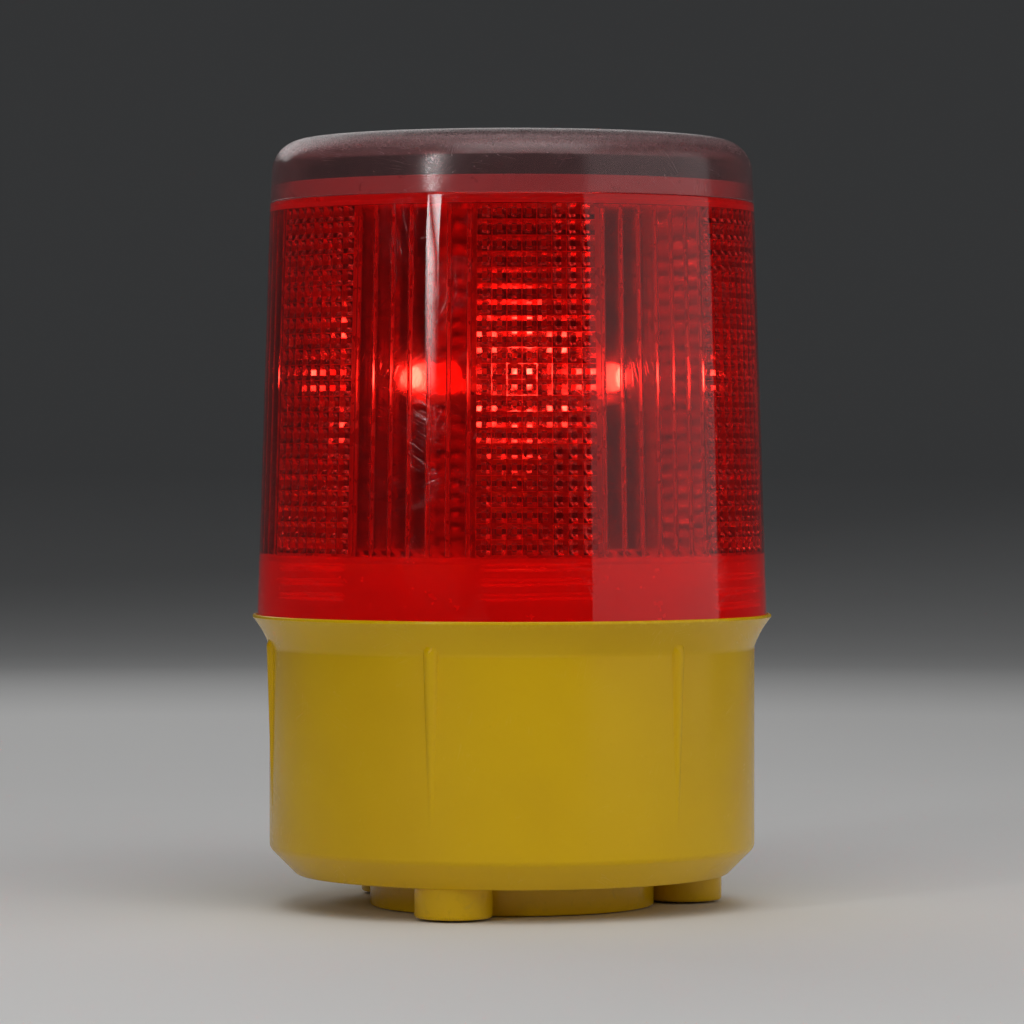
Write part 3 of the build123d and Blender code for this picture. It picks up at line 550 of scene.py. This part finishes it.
def paint_nodes():
    """Gives every CAD node that stays on show its procedural finish."""
    white = plastic("column_plastic", (0.62, 0.61, 0.58), 0.42)
    black = plastic("black_plastic", (0.022, 0.022, 0.024), 0.40)
    steel = metal("plated_steel", (0.60, 0.59, 0.57), 0.34, (0.34, 0.31, 0.27))
    bright = metal("nickel_plate", (0.74, 0.72, 0.69), 0.22, (0.50, 0.46, 0.40))
    chip = plastic("chip_epoxy", (0.016, 0.016, 0.018), 0.5, grain_mm=0.2)
    cell = cell_jacket()
    red = plastic("red_insulation", (0.50, 0.012, 0.010), 0.35, grain_mm=1.2)
    dark = plastic("black_insulation", (0.015, 0.015, 0.016), 0.35, grain_mm=1.2)
    looks = {
        "deck": yellow_plastic(),
        "gasket": rubber("gasket_rubber"),
        "magnet_cup": metal("zinc_pot", (0.55, 0.56, 0.58), 0.36, (0.30, 0.29, 0.27)),
        "magnet_ring": ferrite(),
        "battery_holder": black,
        "battery_cell_1": cell,
        "battery_cell_2": cell,
        "contact_springs": bright,
        "contact_plates": bright,
        "control_board": circuit_board("green_board", (0.012, 0.13, 0.05), (0.03, 0.24, 0.09)),
        "driver_chip": chip,
        "inductor": plastic("ferrite_drum", (0.035, 0.035, 0.038), 0.55, grain_mm=0.25, depth_mm=0.03),
        "capacitors": plastic("capacitor_sleeve", (0.012, 0.02, 0.10), 0.3),
        "switch_body": black,
        "switch_button": plastic("button_plastic", (0.03, 0.03, 0.032), 0.38),
        "switch_spring": bright,
        "switch_grommet": rubber("grommet_rubber"),
        "lower_column": white,
        "upper_column": white,
        "led_board": circuit_board("white_board", (0.70, 0.71, 0.68), (0.52, 0.53, 0.50)),
        "leds": led_epoxy(),
        "led_legs": bright,
        "led_resistors": chip,
        "solar_tray": plastic("tray_plastic", (0.012, 0.012, 0.013), 0.62, Specular_IOR_Level=0.25),
        "solar_board": circuit_board("panel_board", (0.07, 0.10, 0.06), (0.16, 0.17, 0.10)),
        "solar_cells": silicon(),
        "solar_resin": clear_resin(),
    }
    for name, obj in NODES.items():
        if name.endswith("screws") or name == "magnet_screw":
            looks[name] = steel
        elif name.endswith("lead_red"):
            looks[name] = red
        elif name.endswith("lead_black"):
            looks[name] = dark
        if name in looks:
            for holder in obj.material_slots:
                holder.material = looks[name]
    return looks


# ---- base -------------------------------------------------------------------------------------------
def rib_reach(z, off):
    """Radius of a rib's surface at height z and angle off from its middle; 0 where there is none."""
    (foot_r, head_r), (low, high) = RIB_R, RIB_Z
    if not low <= z < high + head_r:
        return np.zeros_like(off)
    if z <= high:
        radius = foot_r + (head_r - foot_r) * (z - low) / (high - low)
    else:
        radius = math.sqrt(head_r ** 2 - (z - high) ** 2)
    inside = radius ** 2 - (RIB_AXIS_R * np.sin(off)) ** 2
    reach = RIB_AXIS_R * np.cos(off) + np.sqrt(np.maximum(inside, 0))
    return np.where((inside > 0) & (np.abs(off) < 0.2), reach, 0)


def base_angles():
    """Columns of the base: even, with extra ones over each rib."""
    fine = np.radians([0, 0.3, 0.6, 0.9, 1.1, 1.3, 1.45, 1.6, 1.7, 1.8, 1.88, 1.98, 2.1, 2.4, 3.0, 4.0])
    angles = []
    for k in range(6):
        rib = math.radians(-90 + 60 * k)
        angles += list(rib + fine) + list(rib - fine[1:])
        angles += list(rib + np.radians(np.arange(5.5, 55.0, 1.75)))
    return np.array(sorted(a % (2 * math.pi) for a in angles))


def base_outline():
    """The base's section from the edge of its underside, up the outside and down the inside, and the number
    of its points that lie outside."""
    low_r = BASE_R - CHAMFER
    wall = [(UNDER_R, UNDER_Z), (low_r, UNDER_Z), (BASE_R, UNDER_Z + CHAMFER), (BASE_R, 42.0)]
    wall = fillet(wall, [0, 0.8, 1.8, 0], 8)
    wall = dense(wall, 1.2) + [(BASE_R, z) for z in np.arange(42.5, FLARE_Z + 0.1, 0.5)]
    top = RIM_Z - 0.5
    flare = []
    for share in np.linspace(0, 1, 16)[1:]:
        grow = 0.62 * share + 0.38 * share ** 2.2
        flare.append((BASE_R + (RIM_R - BASE_R) * grow, FLARE_Z + (top - FLARE_Z) * share))
    lip = fillet([flare[-1], (RIM_R - 0.02, RIM_Z), (45.60, RIM_Z), (43.8, SEAT_Z)], [0, 0.34, 0.2, 0], 7)
    inner = [(SEAT_R, SEAT_Z), (SEAT_R, DECK_Z), (CAVITY_R, DECK_Z), (CAVITY_R, FLOOR_Z + 3.4)]
    inner += [(37.5, FLOOR_Z), (FLOOR_R, FLOOR_Z)]
    return wall + flare + lip[1:] + inner, len(wall) + len(flare) - 1


def build_base(look):
    """The base housing: ribbed cup, flared rim, feet, magnet ring, posts and pads."""
    shape = Shape()
    outline, outside = base_outline()
    angles = base_angles()
    heights = np.array([[p[1]] * len(angles) for p in outline])
    radii = np.array([[p[0]] * len(angles) for p in outline])
    soft = 0.10
    for row in range(outside):
        for side in range(6):
            off = (angles - math.radians(-90 + 60 * side) + math.pi) % (2 * math.pi) - math.pi
            rib = rib_reach(heights[row][0], off)
            body = radii[row]
            step = np.clip(0.5 + 0.5 * (rib - body) / soft, 0, 1)
            joined = body * (1 - step) + rib * step + soft * step * (1 - step)
            radii[row] = np.where(rib > 0, np.maximum(joined, body), body)
    shape.grid(radii, heights, angles)
    holes = [circle(x, y, WELL_HOLE_R, 48) for x, y in FEET_AT]
    holes += [circle(*SWITCH_AT, SWITCH_HOLE_R, 48), circle(0, 0, BOSS_HOLE_R, 160)]
    for edge_r, z, up in ((UNDER_R, UNDER_Z, False), (FLOOR_R, FLOOR_Z, True)):
        shape.plate([[(edge_r * math.cos(a), edge_r * math.sin(a)) for a in angles], *holes], z, up)
    shape.lathe([(SWITCH_HOLE_R, FLOOR_Z), (SWITCH_HOLE_R, UNDER_Z)], 48, SWITCH_AT, closed=False)
    foot_top, chamfer = UNDER_Z + 0.4, 0.35
    for x, y in FEET_AT:
        foot = [(SCREW_R, 21.0), (WELL_R, 21.0), (WELL_R, FOOT_Z + chamfer), (WELL_R + chamfer, FOOT_Z)]
        foot += [(6.75, FOOT_Z), (6.75, foot_top)]
        foot = fillet(foot, [0, 0, 0.1, 0.1, 0.6, 0], 5)
        shape.lathe(foot + [(4.6, foot_top), (4.6, 27.0), (SCREW_R, 27.0)], 64, (x, y))
    roof = MAGNET_TOP_Z + 2.2
    ring = [(MAGNET_R, MAGNET_TOP_Z + 0.3), (MAGNET_R, BOSS_Z), (BOSS_R, BOSS_Z)]
    ring += [(BOSS_R, foot_top), (23.9, foot_top), (23.9, roof - 0.8)]
    ring = fillet(ring, [0, 0.2, 0.4, 0, 0, 0], 5)
    pillar = [(25.1, roof - 0.8), (25.1, roof), (4.6, roof), (4.6, 16.0)]
    pillar += [(SCREW_R, 16.0), (SCREW_R, MAGNET_TOP_Z + 0.3)]
    shape.lathe(ring + pillar, 160)
    for x, y in STANDOFFS:
        shape.lathe([(1.1, 7.0), (2.6, 7.0), (2.6, 19.0), (1.1, 19.0)], 32, (x, y))
    for x, y in HOLDER_PADS:
        shape.lathe([(1.1, 8.0), (2.6, 8.0), (2.6, 16.0), (1.1, 16.0)], 32, (x, y))
    return shape.build("base_shell", "base", "base_housing", [look])


# ---- lens -------------------------------------------------------------------------------------------
def lens_radius(z):
    """Outer radius of the lens at height z."""
    return LENS_R_LOW + (LENS_R_HIGH - LENS_R_LOW) * (z - RIM_Z) / (SEAM_Z - RIM_Z)


def lens_columns():
    """Angles of the lens's inner columns and, for each, its kind: (cell share) in a prism panel, or
    distance in degrees from the nearest ridge between panels."""
    cell = PANEL_ARC / CELL_COLUMNS
    shares = (0.0, 0.03, 0.33, 0.67, 0.97)
    ridge = (-0.62, -0.47, -0.17, 0.17, 0.47, 0.62)
    columns = []
    for side in range(6):
        middle = LENS_CLOCK + 60 * side
        for c in range(CELL_COLUMNS):
            for share in shares:
                columns.append((middle - PANEL_ARC / 2 + (c + share) * cell, "cell", share))
        columns.append((middle + PANEL_ARC / 2, "cell", 0.0))
        for k in range(RIDGES):
            at = middle + 30 + (k - (RIDGES - 1) / 2) * RIDGE_STEP
            for off in ridge:
                columns.append((at + off, "ridge", off))
            if k < RIDGES - 1:
                columns.append((at + RIDGE_STEP / 2, "ridge", 2.0))
    return sorted(columns)


def lens_inner_rows():
    """Heights of the lens's inner rows above the thread, with each one's share of its cell."""
    pitch = (PATTERN_Z[1] - PATTERN_Z[0]) / CELL_ROWS
    rows = []
    for k in range(CELL_ROWS):
        rows += [(PATTERN_Z[0] + (k + share) * pitch, share) for share in (0.0, 0.03, 0.33, 0.67, 0.97)]
    return rows + [(PATTERN_Z[1], 0.0)]


def build_lens(looks):
    """The lens: smooth outside; inside, panels of small pyramids with cut tips, upright ridges between
    them, thread lugs below. looks are its outside, inside, pattern's edges, neck, pyramid sides and foot."""
    columns = lens_columns()
    angles = np.radians([c[0] for c in columns])
    count = len(columns)
    cell_rise, ridge_rise = 0.95, 0.5
    tip = {0.0: 0.0, 0.03: 0.04, 0.33: 1.0, 0.67: 1.0, 0.97: 0.04}
    panel = np.array([c[1] == "cell" for c in columns])
    across = np.array([tip[c[2]] if c[1] == "cell" else 0.0 for c in columns])
    off = np.array([abs(c[2]) if c[1] == "ridge" else 9.0 for c in columns])
    ridge = np.sqrt(np.maximum(0.0, 1 - (off / 0.61) ** 2))
    following = np.roll(across, -1)
    cell_edge = panel & (across < 0.1) & (following < 0.1)
    ridge_top = (off < 0.55) & (np.roll(off, -1) < 0.55)
    rows_r, rows_z, slots = [], [], []

    def row(radius, z, slot):
        rows_r.append(np.broadcast_to(radius, (count,)).astype(float))
        rows_z.append(np.full(count, z))
        slots.append(np.broadcast_to(slot, (count,)))

    row(LENS_R_LOW - 0.55, LENS_FOOT_Z, 0)
    row(LENS_R_LOW - 0.3, LENS_FOOT_Z + 0.15, 0)
    row(LENS_R_LOW, RIM_Z, 0)
    for z in np.linspace(RIM_Z, SEAM_Z - 0.4, 8)[1:]:
        row(lens_radius(z), z, 0)
    row(LENS_R_HIGH - 0.05, SEAM_Z - 0.16, 0)
    row(LENS_R_HIGH - 0.20, SEAM_Z - 0.03, 0)
    row(LENS_R_HIGH - 0.40, SEAM_Z, 0)
    neck_in, neck_out = NECK_R
    for r, z in ((neck_out, SEAM_Z), (neck_out, NECK_Z - 0.2), (41.2, NECK_Z), (40.1, NECK_Z)):
        row(r, z, 3)
    row(neck_in, NECK_Z - 0.2, 3)
    row(neck_in, SEAM_Z - 1.0, 3)
    row(LENS_R_HIGH - LENS_WALL, SEAM_Z - 1.8, 1)
    share_at = np.array([c[2] if c[1] == "cell" else 0.0 for c in columns])
    upright = np.where(ridge_top | cell_edge, 2, np.where(panel & (following + across > 0), 4, 1))
    for z, share in reversed(lens_inner_rows()):
        wall = lens_radius(z) - LENS_WALL
        near_end = min(z - PATTERN_Z[0], PATTERN_Z[1] - 0.9 - z)
        rise = cell_rise * np.minimum(across, tip[share])
        rise = np.maximum(rise, ridge_rise * ridge * min(1.0, max(0.0, near_end / 0.8)))
        if share in (0.0, 0.03):
            row(wall - rise, z, np.where(panel, 2, upright))
        else:
            row(wall - rise, z, np.where((share_at == 0.33) & (share == 0.67), 1, upright))
    lug = np.array([abs((math.degrees(a) - LENS_CLOCK + 30) % 60 - 30) for a in angles])
    taper = np.clip((14.0 - lug) / 4.5, 0, 1)
    taper = taper * taper * (3 - 2 * taper)
    first = THREAD_Z + PITCH * np.degrees(angles) / 360
    for z in np.arange(THREAD_TOP_Z + 0.9, LENS_FOOT_Z + 0.3, -0.23):
        upper = np.clip((z - THREAD_TOP_Z + 0.2) / 0.3, 0, 1)
        wall = THREAD_ROOT_R * (1 - upper) + (lens_radius(z) - LENS_WALL) * upper
        near = np.full(count, 9.0)
        for k in range(3):
            near = np.minimum(near, np.abs(z - first - PITCH * k))
        reach = 1.33 * np.clip((0.58 - near) / 0.28, 0, 1) * taper
        row(wall - reach, z, 5)
    row(THREAD_ROOT_R, LENS_FOOT_Z + 0.1, 5)
    row(43.1, LENS_FOOT_Z, 5)
    shape = Shape()
    shape.grid(np.array(rows_r), np.array(rows_z), angles, closed=True, slots=slots)
    return shape.build("prism_lens", "lens", "lens", looks, 24)


def build_cap(look):
    """Clear cap with its rounded edge, bonded over the lens's neck."""
    seat = SEAM_Z + 0.02
    outer = [(0.02, TOP_Z), (CAP_R - 0.45, TOP_Z), (CAP_R, seat), (41.45, seat)]
    outer = fillet(outer, [0, 6.75, 0.22, 0], 18)
    inner = fillet([(41.45, SEAM_Z + 3.2), (41.15, TOP_Z - 1.8), (0.02, TOP_Z - 1.8)], [0, 5.4, 0], 16)
    shape = Shape()
    shape.lathe((outer + inner)[::-1], 240)
    return shape.build("clear_cap", "lens", "top_cap", [look], 40)


# ---- stage ------------------------------------------------------------------------------------------
def build_stage():
    """A round sweep: a pale flat floor that curves up into a plain grey wall."""
    outline = [(0.0, 0.0), (1.0, 0.0)]
    for t in np.linspace(0, math.pi / 2, 24)[1:]:
        outline.append((1.0 + 0.9 * math.sin(t), 0.9 * (1 - math.cos(t))))
    outline += [(1.9, 1.9)]
    count = 128
    points, faces = [], []
    for r, z in outline[1:]:
        points += [(x, y, z) for x, y in circle(0, 0, r, count)]
    centre = len(points)
    points.append((0, 0, 0))
    faces += [(centre, k, (k + 1) % count) for k in range(count)]
    for s in range(len(outline) - 2):
        for k in range(count):
            n = (k + 1) % count
            faces.append((s * count + k, (s + 1) * count + k, (s + 1) * count + n, s * count + n))
    mesh = bpy.data.meshes.new("studio_floor")
    mesh.from_pydata(points, [], faces)
    mesh.polygons.foreach_set("use_smooth", [True] * len(faces))
    look = Look("studio_paper", Specular_IOR_Level=0.2)
    pale = look.mix(look.noise(180.0, 2.0), (0.80, 0.795, 0.785), (0.83, 0.825, 0.815))
    look.set(
        Base_Color=look.mix(look.span(look.radius(), 650.0, 1350.0), pale, (0.24, 0.245, 0.25)),
        Roughness=look.span(look.noise(25.0), 0.3, 0.7, 0.75, 0.85),
    )
    mesh.materials.append(look.material)
    floor = bpy.data.objects.new("studio_floor", mesh)
    bpy.context.scene.collection.objects.link(floor)


def soften_edges(light, shares):
    """Fades a rectangular light toward its edges. shares is the fading part of its width and of its
    height."""
    light.use_nodes = True
    nodes, links = light.node_tree.nodes, light.node_tree.links

    def math_node(operation, a, b, clamp=False):
        node = nodes.new("ShaderNodeMath")
        node.operation, node.use_clamp = operation, clamp
        for socket, value in zip(node.inputs, (a, b)):
            if isinstance(value, float):
                socket.default_value = value
            else:
                links.new(value, socket)
        return node.outputs[0]

    place, split = nodes.new("ShaderNodeNewGeometry"), nodes.new("ShaderNodeSeparateXYZ")
    links.new(place.outputs["Parametric"], split.inputs[0])
    across = math_node("ADD", split.outputs["X"], split.outputs["Y"])
    fades = []
    for value, share in zip((across, split.outputs["Y"]), shares):
        fades.append(math_node("MULTIPLY", math_node("PINGPONG", value, 0.5), 1.0 / share, True))
    links.new(math_node("MULTIPLY", *fades), nodes["Emission"].inputs["Strength"])


def area_light(name, azimuth, distance, z, size, power, colour=(1, 1, 1), aim_z=0.075, soft=None):
    """A soft rectangular light, azimuth in degrees to the right of the camera as seen from the lamp."""
    light = bpy.data.lights.new(name, "AREA")
    light.shape = "RECTANGLE"
    light.size, light.size_y = size
    light.energy = power
    light.color = colour
    if soft:
        soften_edges(light, soft)
    obj = bpy.data.objects.new(name, light)
    turn = math.radians(CAMERA_AZIMUTH + azimuth)
    obj.location = (distance * math.sin(turn), -distance * math.cos(turn), z)
    obj.rotation_euler = (Vector((0, 0, aim_z)) - obj.location).to_track_quat("-Z", "Y").to_euler()
    obj.visible_camera = False
    bpy.context.scene.collection.objects.link(obj)


CAMERA_AZIMUTH = 18.7
CAMERA_DISTANCE = 0.89
CAMERA_Z = 0.0805


def build_camera():
    data = bpy.data.cameras.new("camera")
    data.lens, data.sensor_width = 175.8, 36.0
    data.shift_y = -0.0586
    data.clip_start, data.clip_end = 0.01, 20.0
    camera = bpy.data.objects.new("camera", data)
    turn = math.radians(CAMERA_AZIMUTH)
    camera.location = (CAMERA_DISTANCE * math.sin(turn), -CAMERA_DISTANCE * math.cos(turn), CAMERA_Z)
    camera.rotation_euler = (math.pi / 2, 0, turn)
    bpy.context.scene.collection.objects.link(camera)
    bpy.context.scene.camera = camera


def build_world():
    world = bpy.data.worlds.new("studio")
    world.use_nodes = True
    world.node_tree.nodes["Background"].inputs["Color"].default_value = (0.92, 0.95, 1.0, 1)
    world.node_tree.nodes["Background"].inputs["Strength"].default_value = 0.07
    bpy.context.scene.world = world


looks = paint_nodes()
build_base(looks["deck"])
build_lens([
    lens_outside(),
    lens_plastic("lens_inside", 0.13),
    lens_plastic("lens_edges", 0.34, 0.55, 0.01, (0.95, 0.032, 0.026)),
    # lens_neck and lens_foot carry a painted glow: emission standing in for the lamps' light on the neck and
    # on the foot band.
    lens_plastic("lens_neck", 0.45, 0.35, 0.02, (0.90, 0.09, 0.10), 0.10),
    lens_plastic("lens_pyramids", 0.24),
    lens_plastic("lens_foot", 0.22, 0.35, 0.01, (0.97, 0.024, 0.012), 0.15),
])
build_cap(cap_plastic())
build_stage()
build_world()
build_camera()
area_light("softbox", 70.0, 0.75, 0.16, (1.05, 0.8), 1.7)
area_light("strip", -36.5, 0.80, 0.300, (0.085, 0.32), 1.35, aim_z=0.11, soft=(0.35, 0.14))
area_light("front", 8.0, 0.62, 0.78, (1.0, 0.6), 2.9)
area_light("back", 198.0, 0.85, 0.60, (0.9, 0.6), 1.7)
area_light("top", 10.0, 0.25, 0.95, (0.8, 0.8), 1.7)
bpy.context.scene.view_settings.view_transform = "Standard"
